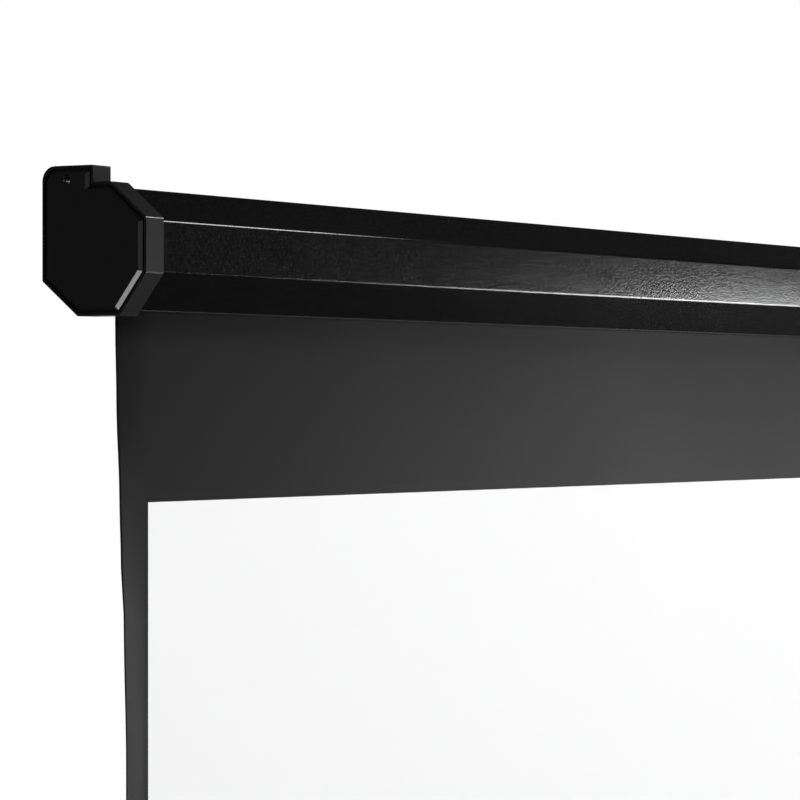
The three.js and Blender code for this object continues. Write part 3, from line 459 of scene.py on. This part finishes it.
def runTree(piece, tree, **values):
    modifier = piece.modifiers.new(tree.name, "NODES")
    modifier.node_group = tree
    for item in tree.interface.items_tree:
        if item.in_out == "INPUT" and item.name.replace(" ", "_") in values:
            modifier[item.identifier] = values[item.name.replace(" ", "_")]


def oneFinish(piece, finish):
    # the tree's result carries an empty slot before its own
    piece.data.materials.clear()
    piece.data.materials.append(finish)
    for polygon in piece.data.polygons:
        polygon.material_index = 0


# the case: its folded section, filled and swept along the screen

case = {"cornerRadius": 0.0007, "cornerSteps": 3, "mergeWithin": 0.000001,
        "endWithin": 0.00001, "endFacing": 0.99}             # what counts as a face of its end


def makeSweepTree():
    tree, given = nodeTree("sweptSection", [("Start", "NodeSocketFloat"), ("Length", "NodeSocketFloat"),
                                            ("Corner radius", "NodeSocketFloat"),
                                            ("Corner steps", "NodeSocketInt"),
                                            ("Finish", "NodeSocketMaterial")])
    outline = chained(tree, given["Geometry"], "GeometryNodeMeshToCurve")
    rounded = chained(tree, outline.outputs[0], "GeometryNodeFilletCurve", mode="POLY")
    rounded.inputs["Limit Radius"].default_value = True
    tree.links.new(given["Corner radius"], rounded.inputs["Radius"])
    tree.links.new(given["Corner steps"], rounded.inputs["Count"])
    section = chained(tree, rounded.outputs[0], "GeometryNodeFillCurve", mode="TRIANGLES")
    swept = chained(tree, section.outputs[0], "GeometryNodeExtrudeMesh", mode="FACES")
    swept.inputs["Individual"].default_value = False
    tree.links.new(given["Length"], swept.inputs["Offset Scale"])
    nearEnd = chained(tree, section.outputs[0], "GeometryNodeFlipFaces")
    both = addNode(tree, "GeometryNodeJoinGeometry")
    tree.links.new(swept.outputs[0], both.inputs[0])
    tree.links.new(nearEnd.outputs[0], both.inputs[0])
    closed = chained(tree, both.outputs[0], "GeometryNodeMergeByDistance")
    closed.inputs["Distance"].default_value = case["mergeWithin"]
    place = addNode(tree, "ShaderNodeCombineXYZ")
    tree.links.new(given["Start"], place.inputs["X"])
    laid = chained(tree, closed.outputs[0], "GeometryNodeTransform")
    tree.links.new(place.outputs[0], laid.inputs["Translation"])
    laid.inputs["Rotation"].default_value = (math.radians(90), 0.0, math.radians(90))
    smooth = chained(tree, laid.outputs[0], "GeometryNodeSetShadeSmooth")
    closeTree(tree, smooth.outputs[0], given["Finish"])
    return tree


def endOutline(node):
    # the outline of a solid's far end, laid flat as a mesh of edges
    work = bmesh.new()
    work.from_mesh(mergedCopy(node))
    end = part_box(node)[1].x
    atEnd = {face for face in work.faces if face.normal.x > case["endFacing"]
             and abs(face.calc_center_median().x - end) < case["endWithin"]}
    border = [edge for edge in work.edges
              if sum(face in atEnd for face in edge.link_faces) == 1]
    corners = {}
    for edge in border:
        for vertex in edge.verts:
            corners.setdefault(vertex, len(corners))
    outline = bpy.data.meshes.new("sectionOutline")
    outline.from_pydata([(vertex.co.y, vertex.co.z, 0.0) for vertex in corners],
                        [[corners[vertex] for vertex in edge.verts] for edge in border], [])
    work.free()
    return outline


def buildCase():
    low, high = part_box("case_housing")
    piece = linked("caseHousing", endOutline("case_housing"))
    runTree(piece, makeSweepTree(), Start=low.x, Length=high.x - low.x,
            Corner_radius=case["cornerRadius"], Corner_steps=case["cornerSteps"], Finish=powderCoat)
    flatFaces(piece)
    finished(piece, bodyOfNode["case_housing"], "powder_coat", "case_housing")
    oneFinish(piece, powderCoat)


buildCase()
print("case swept")


# screws: one pattern for each set, placed where the CAD ones stand

screws = {"edge": (0.00015, 2)}


def makeScatterTree():
    tree, given = nodeTree("screwsOnPoints", [("Screw", "NodeSocketObject"), ("Turn", "NodeSocketFloat"),
                                              ("Finish", "NodeSocketMaterial")])
    points = chained(tree, given["Geometry"], "GeometryNodeMeshToPoints")
    screw = chained(tree, given["Screw"], "GeometryNodeObjectInfo", transform_space="ORIGINAL")
    turn = addNode(tree, "ShaderNodeCombineXYZ")
    tree.links.new(given["Turn"], turn.inputs["Z"])
    copies = chained(tree, points.outputs[0], "GeometryNodeInstanceOnPoints")
    tree.links.new(screw.outputs["Geometry"], copies.inputs["Instance"])
    tree.links.new(turn.outputs[0], copies.inputs["Rotation"])
    closeTree(tree, copies.outputs[0], given["Finish"])
    return tree


scatterTree = makeScatterTree()


def centreOf(node):
    low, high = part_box(node)
    return (low + high) / 2


def screwSet(name, places, turn=0.0, like=None):
    pattern = linked("pattern", mergedCopy(like or places[0]))
    centre = centreOf(like or places[0])
    for vertex in pattern.data.vertices:
        vertex.co -= centre
    breakEdges(pattern, screws["edge"])
    flatFaces(pattern)
    settled(pattern)
    stands = bpy.data.meshes.new("screwPlaces")
    stands.from_pydata([tuple(centreOf(node)) for node in places], [], [])
    piece = linked(name, stands)
    runTree(piece, scatterTree, Screw=pattern, Turn=turn, Finish=zincPlate)
    finished(piece, bodyOfNode[places[0]], "zinc_plate", *places)
    oneFinish(piece, zincPlate)
    bpy.data.objects.remove(pattern)


def numbered(stem):
    return sorted(node for node in nodes.keys() if node.startswith(stem))


leftScrews = numbered("left_case_screw_")
screwSet("leftCaseScrews", leftScrews)
screwSet("rightCaseScrews", numbered("right_case_screw_"), math.pi, leftScrews[0])
screwSet("handleScrews", numbered("handle_screw_"))
print("screws set")


# the pull handle: a round bar bent along a path, its ribbed grip, and its two pins and eyes

# lengths are metres; "leg" is how far each leg stands from the middle, "pinInner" where a pin starts
handle = {
    "leg": 0.046, "drop": 0.031, "barRadius": 0.0035, "bend": 0.011,
    "gripLength": 0.046, "gripRadius": 0.0052, "gripTaper": 0.006,
    "ribs": 9, "ribDepth": 0.00035,
    "pinRadius": 0.0022, "pinInner": 0.0376, "chamfer": 0.0004,
    "bendSteps": 12, "facesAround": 24,
    "mergeWithin": 0.000002,
    "sharpFrom": 38.0,           # degrees between two faces
}


def makeBarTree():
    tree, given = nodeTree("barsAlongLines", [("Bend steps", "NodeSocketInt"),
                                              ("Faces around", "NodeSocketInt"),
                                              ("Finish", "NodeSocketMaterial")])
    lines = chained(tree, given["Geometry"], "GeometryNodeMeshToCurve")
    bent = chained(tree, lines.outputs[0], "GeometryNodeFilletCurve", mode="POLY")
    bent.inputs["Limit Radius"].default_value = True
    tree.links.new(given["Bend steps"], bent.inputs["Count"])
    fields = {}
    for field in ("bend", "thickness"):
        fields[field] = addNode(tree, "GeometryNodeInputNamedAttribute", data_type="FLOAT")
        fields[field].inputs["Name"].default_value = field
    tree.links.new(fields["bend"].outputs["Attribute"], bent.inputs["Radius"])
    ring = addNode(tree, "GeometryNodeCurvePrimitiveCircle")
    ring.inputs["Radius"].default_value = 1.0
    tree.links.new(given["Faces around"], ring.inputs["Resolution"])
    bars = chained(tree, bent.outputs[0], "GeometryNodeCurveToMesh")
    bars.inputs["Fill Caps"].default_value = True
    tree.links.new(ring.outputs[0], bars.inputs["Profile Curve"])
    tree.links.new(fields["thickness"].outputs["Attribute"], bars.inputs["Scale"])
    whole = addNode(tree, "GeometryNodeMeshBoolean", operation="UNION", solver="EXACT")
    whole.inputs["Self Intersection"].default_value = True
    tree.links.new(bars.outputs[0], whole.inputs["Mesh 2"])
    merged = chained(tree, whole.outputs["Mesh"], "GeometryNodeMergeByDistance")
    merged.inputs["Distance"].default_value = handle["mergeWithin"]
    smooth = chained(tree, merged.outputs[0], "GeometryNodeSetShadeSmooth")
    closeTree(tree, smooth.outputs[0], given["Finish"])
    return tree


def handleLines(pivot):
    # every line of the handle, as (x, z, radius, bend) corners about its pivot
    leg, drop, radius, chamfer = (handle[key] for key in ("leg", "drop", "barRadius", "chamfer"))
    half = handle["gripLength"] / 2
    end = half + handle["gripTaper"]
    lines = [[(-leg, 0, radius, 0), (-leg, -drop, radius, handle["bend"]),
              (leg, -drop, radius, handle["bend"]), (leg, 0, radius, 0)]]
    crest = handle["gripRadius"]
    grip = [(-end, -drop, radius - chamfer, 0), (-half, -drop, crest, 0)]
    pitch = handle["gripLength"] / handle["ribs"]
    slope = pitch / 4
    for rib in range(1, handle["ribs"]):
        valley = rib * pitch - half
        grip += [(valley - slope, -drop, crest, 0),
                 (valley, -drop, crest - handle["ribDepth"], 0),
                 (valley + slope, -drop, crest, 0)]
    lines.append(grip + [(half, -drop, crest, 0), (end, -drop, radius - chamfer, 0)])

    def pin(start, stop, size):
        return [(start, 0, size - chamfer, 0), (start + chamfer, 0, size, 0),
                (stop - chamfer, 0, size, 0), (stop, 0, size - chamfer, 0)]

    inner, fine = handle["pinInner"], handle["pinRadius"]
    lines += [pin(-leg, -inner, fine), pin(inner, leg, fine),
              pin(-leg - radius, -leg + radius, radius), pin(leg - radius, leg + radius, radius)]
    corners = [corner for line in lines for corner in line]
    steps = []
    for line in lines:
        start = steps[-1][1] + 1 if steps else 0
        steps += [(start + i, start + i + 1) for i in range(len(line) - 1)]
    mesh = bpy.data.meshes.new("handleLines")
    mesh.from_pydata([(x, pivot.y, pivot.z + z) for x, z, _, _ in corners], steps, [])
    for field, column in (("thickness", 2), ("bend", 3)):
        values = mesh.attributes.new(field, "FLOAT", "POINT")
        for index, corner in enumerate(corners):
            values.data[index].value = corner[column]
    return mesh


def buildHandle():
    piece = linked("pullHandle", handleLines(Vector(jointNamed["handle_swing"]["pos_m"])))
    runTree(piece, makeBarTree(), Bend_steps=handle["bendSteps"], Faces_around=handle["facesAround"],
            Finish=trimPlastic)
    finished(piece, bodyOfNode["pull_handle"], "trim_plastic", "pull_handle")
    oneFinish(piece, trimPlastic)
    piece.data.set_sharp_from_angle(angle=math.radians(handle["sharpFrom"]))


buildHandle()
print("handle bent")


# the CAD nodes that stay visible wear the finish of their slot

finishes = {"zinc_plate": zincPlate, "steel": brightSteel, "spring_steel": springSteel,
            "nylon": nylonPlastic, "spline_plastic": splinePlastic, "black_sheet": blackCloth,
            "matte_white": whiteCloth, "trim_plastic": trimPlastic, "cap_plastic": capPlastic,
            "powder_coat": powderCoat, "bar_finish": blackAnodised}
for part in frame["record"]["subparts"]:
    node = nodes[part["node"]]
    node.data.materials.clear()
    node.data.materials.append(finishes[part["material_slot"]])
print("CAD nodes given their finishes")


# the screen cloth, hung from the roll and weighted by the bar

cloth = {
    "borderColumns": 14,
    "middleColumns": 30,
    "rows": 90,
    # how far the side edges stand forward of the picture plane: height, then distance
    "edgeCurl": [(-0.05, -0.0023), (-0.0935, -0.0023), (-0.14, -0.0014), (-0.202, 0.0009),
                 (-0.2368, 0.0019), (-0.276, 0.0041), (-0.36, 0.0058), (-0.6, 0.0062),
                 (-1.0, 0.0045), (-1.2, 0.0012), (-1.2801, 0.0)],
    "curlPower": 1.6,            # how late across the border the curl sets in
    "within": 0.0000001,         # slack in telling which faces lie in the picture
    # rolling up, the sheet leans back by this slope, so that its curled edges clear the roll
    "lean": -0.003,
}


def between(table, at):
    # the table runs downwards, and the value eases from each of its rows to the next
    for (top, atTop), (bottom, atBottom) in zip(table, table[1:]):
        if bottom <= at <= top:
            share = (top - at) / (top - bottom)
            smooth = share * share * (3 - 2 * share)
            return atTop + (atBottom - atTop) * smooth
    return table[0][1] if at > table[0][0] else table[-1][1]


def spaced(start, end, count):
    return [start + (end - start) * i / count for i in range(count)]


def buildCloth():
    low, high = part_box("screen_sheet")
    picLow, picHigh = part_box("picture_surface")
    inner = picHigh.x
    xs = (spaced(low.x, -inner, cloth["borderColumns"])
          + spaced(-inner, inner, cloth["middleColumns"])
          + spaced(inner, high.x, cloth["borderColumns"]) + [high.x])
    zs = sorted(set(spaced(high.z, low.z, cloth["rows"]) + [low.z, picLow.z, picHigh.z]),
                reverse=True)
    middle = (low.y + high.y) / 2
    half = (high.y - low.y) / 2
    within = cloth["within"]

    def forward(x, z):
        reach = max(0.0, (abs(x) - inner) / (high.x - inner))
        return between(cloth["edgeCurl"], z) * reach ** cloth["curlPower"]

    work = bmesh.new()
    uv = work.loops.layers.uv.new("clothMetres")
    sides = []
    for offset in (-half, half):
        sides.append([[work.verts.new((x, middle + offset - forward(x, z), z)) for x in xs]
                      for z in zs])
    front, back = sides

    def face(corners, white=False):
        made = work.faces.new(corners)
        made.smooth = True
        made.material_index = 1 if white else 0
        for loop in made.loops:
            loop[uv].uv = (loop.vert.co.x, loop.vert.co.z)

    for r in range(len(zs) - 1):
        for c in range(len(xs) - 1):
            white = (xs[c] >= -inner - within and xs[c + 1] <= inner + within
                     and zs[r] <= picHigh.z + within and zs[r + 1] >= picLow.z - within)
            face((front[r][c], front[r + 1][c], front[r + 1][c + 1], front[r][c + 1]), white)
            face((back[r][c + 1], back[r + 1][c + 1], back[r + 1][c], back[r][c]))
        face((back[r][0], back[r + 1][0], front[r + 1][0], front[r][0]))
        face((front[r][-1], front[r + 1][-1], back[r + 1][-1], back[r][-1]))
    for c in range(len(xs) - 1):
        face((back[0][c], front[0][c], front[0][c + 1], back[0][c + 1]))
        face((front[-1][c], back[-1][c], back[-1][c + 1], front[-1][c + 1]))
    mesh = bpy.data.meshes.new("screenCloth")
    work.to_mesh(mesh)
    work.free()
    mesh.materials.append(blackCloth)
    mesh.materials.append(whiteCloth)
    piece = linked("screenCloth", mesh)
    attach(piece, "drop")
    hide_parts("screen_sheet", "picture_surface")
    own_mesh(piece)


buildCloth()
print("screen cloth hung")


# floor, light and background

studio = {
    "floor": {"height": -1.95, "reach": 30.0, "grey": 0.55},
    "roomLight": 0.3,                    # what reaches matt surfaces from all round
    # the white sweep stands behind the screen, white and then dim at so many degrees off its middle
    "sweep": {"towards": (0.856, 0.517, 0.0), "white": 15.0, "dim": 27.0},
    # the rest of the room as gloss shows it, brightest at eye level
    "dimRoom": {"below": 0.03, "level": 0.08, "above": 0.02, "fade": 0.5},
    # what the floor adds to camera rays, between two distances in metres
    "floorGlow": {"near": 0.5, "far": 0.86, "from": 2.0, "to": 7.0},
    # "matt" lamps light surfaces, and "gloss" lamps are only mirrored in them
    "lamps": {
        "key": {"at": (0.15, -3.4, 1.6), "aim": (0.0, -0.03, -0.65),
                "size": (2.4, 1.6), "power": 148.0, "lights": "matt"},
        "backFill": {"at": (-0.8, 3.6, 1.2), "aim": (0.0, 0.0, -0.6),
                     "size": (2.0, 1.6), "power": 90.0, "lights": "matt"},
        "lowRight": {"at": (1.026, -0.663, -0.434), "aim": (-0.4, -0.07, -0.07),
                     "size": (0.19, 0.8), "power": 10.4, "lights": "gloss"},
        "highRight": {"at": (-0.293, -0.315, 0.328), "aim": (-0.97, -0.07, -0.03),
                      "size": (0.22, 0.2), "power": 1.5, "lights": "gloss"},
        "lowLeft": {"at": (-1.41, -0.56, -0.84), "aim": (-1.0, -0.07, -0.075),
                    "size": (0.35, 0.35), "power": 5.0, "lights": "gloss"},
        "frontLeft": {"at": (-1.517, -0.93, -0.05), "aim": (-1.0, -0.07, -0.05),
                      "size": (0.3, 0.3), "power": 0.3, "lights": "gloss"},
    },
}


def addLamp(name, lamp):
    data = bpy.data.lights.new(name, "AREA")
    data.shape = "RECTANGLE"
    data.size, data.size_y = lamp["size"]
    data.energy = lamp["power"]
    light = bpy.data.objects.new(name, data)
    light.location = lamp["at"]
    facing = Vector(lamp["aim"]) - Vector(lamp["at"])
    light.rotation_euler = facing.to_track_quat("-Z", "Y").to_euler()
    light.visible_camera = False
    light.visible_diffuse = lamp["lights"] != "gloss"
    light.visible_glossy = lamp["lights"] != "matt"
    bpy.context.scene.collection.objects.link(light)


for lampName, lamp in studio["lamps"].items():
    addLamp(lampName, lamp)


def rampBetween(tree, value, low, high, atLow, atHigh):
    ramp = addNode(tree, "ShaderNodeMapRange", interpolation_type="SMOOTHSTEP")
    for label, number in (("From Min", low), ("From Max", high),
                          ("To Min", atLow), ("To Max", atHigh)):
        ramp.inputs[label].default_value = number
    tree.links.new(value, ramp.inputs["Value"])
    return ramp.outputs["Result"]


def throughGloss(tree):
    path = addNode(tree, "ShaderNodeLightPath")
    gloss = mathNode(tree, "MAXIMUM", path.outputs["Is Glossy Ray"],
                     path.outputs["Is Transmission Ray"])
    return path.outputs["Is Camera Ray"], gloss


def plainWhite(tree, kind, strength):
    node = addNode(tree, kind)
    node.inputs["Color"].default_value = (1.0, 1.0, 1.0, 1.0)
    if isinstance(strength, (int, float)):
        node.inputs["Strength"].default_value = strength
    else:
        tree.links.new(strength, node.inputs["Strength"])
    return node.outputs[0]


def mixShaders(tree, factor, first, second):
    mix = addNode(tree, "ShaderNodeMixShader")
    tree.links.new(factor, mix.inputs[0])
    tree.links.new(first, mix.inputs[1])
    tree.links.new(second, mix.inputs[2])
    return mix.outputs[0]


def sweepLevel(tree, direction):
    # 1 where the white sweep stands, and the dim room elsewhere
    towards = addNode(tree, "ShaderNodeVectorMath", operation="DOT_PRODUCT")
    tree.links.new(direction, towards.inputs[0])
    towards.inputs[1].default_value = studio["sweep"]["towards"]
    inSweep = rampBetween(tree, towards.outputs["Value"],
                          math.cos(math.radians(studio["sweep"]["dim"])),
                          math.cos(math.radians(studio["sweep"]["white"])), 0.0, 1.0)
    split = addNode(tree, "ShaderNodeSeparateXYZ")
    tree.links.new(direction, split.inputs[0])
    dim = studio["dimRoom"]
    rising = rampBetween(tree, split.outputs["Z"], -dim["fade"], 0.0, dim["below"], dim["level"])
    falling = rampBetween(tree, split.outputs["Z"], 0.0, dim["fade"], 0.0, dim["above"] - dim["level"])
    room = mathNode(tree, "ADD", rising, falling)
    return mathNode(tree, "MAXIMUM", inSweep, room)


def buildWorld():
    # white to the camera, the sweep and the dim room to gloss, and even light to matt surfaces
    world = bpy.data.worlds.new("studio")
    world.use_nodes = True
    tree = world.node_tree
    tree.nodes.clear()
    toCamera, toGloss = throughGloss(tree)
    direction = addNode(tree, "ShaderNodeTexCoord").outputs["Generated"]
    room = plainWhite(tree, "ShaderNodeBackground", studio["roomLight"])
    mirrored = plainWhite(tree, "ShaderNodeBackground", sweepLevel(tree, direction))
    seen = plainWhite(tree, "ShaderNodeBackground", 1.0)
    output = addNode(tree, "ShaderNodeOutputWorld")
    unseen = mixShaders(tree, toGloss, room, mirrored)
    tree.links.new(mixShaders(tree, toCamera, unseen, seen), output.inputs["Surface"])
    bpy.context.scene.world = world


def buildFloor():
    # a pale matt floor that keeps the screen's shadow, and that gloss sees as it sees the room
    mesh = bpy.data.meshes.new("studioFloor")
    reach, height, grey = (studio["floor"][key] for key in ("reach", "height", "grey"))
    mesh.from_pydata([(-reach, -reach, height), (reach, -reach, height),
                      (reach, reach, height), (-reach, reach, height)], [], [(0, 1, 2, 3)])
    floor = linked("studioFloor", mesh)
    material = bpy.data.materials.new("paleFloor")
    material.use_nodes = True
    tree = material.node_tree
    tree.nodes.clear()
    toCamera, toGloss = throughGloss(tree)
    place = addNode(tree, "ShaderNodeTexCoord").outputs["Object"]
    flat = addNode(tree, "ShaderNodeVectorMath", operation="MULTIPLY")
    flat.inputs[1].default_value = (1.0, 1.0, 0.0)
    tree.links.new(place, flat.inputs[0])
    away = addNode(tree, "ShaderNodeVectorMath", operation="LENGTH")
    tree.links.new(flat.outputs[0], away.inputs[0])
    glow = studio["floorGlow"]
    matte = addNode(tree, "ShaderNodeBsdfDiffuse")
    matte.inputs["Color"].default_value = (grey, grey, grey, 1.0)
    glowLevel = rampBetween(tree, away.outputs["Value"], glow["from"], glow["to"],
                            glow["near"], glow["far"])
    seenGlow = plainWhite(tree, "ShaderNodeEmission", mathNode(tree, "MULTIPLY", toCamera, glowLevel))
    lit = addNode(tree, "ShaderNodeAddShader")
    tree.links.new(matte.outputs[0], lit.inputs[0])
    tree.links.new(seenGlow, lit.inputs[1])
    unit = addNode(tree, "ShaderNodeVectorMath", operation="NORMALIZE")
    tree.links.new(place, unit.inputs[0])
    mirrored = plainWhite(tree, "ShaderNodeEmission", sweepLevel(tree, unit.outputs[0]))
    output = addNode(tree, "ShaderNodeOutputMaterial")
    tree.links.new(mixShaders(tree, toGloss, lit.outputs[0], mirrored), output.inputs["Surface"])
    mesh.materials.append(material)


buildWorld()
buildFloor()
bpy.context.scene.view_settings.view_transform = "Standard"
print("studio lit")
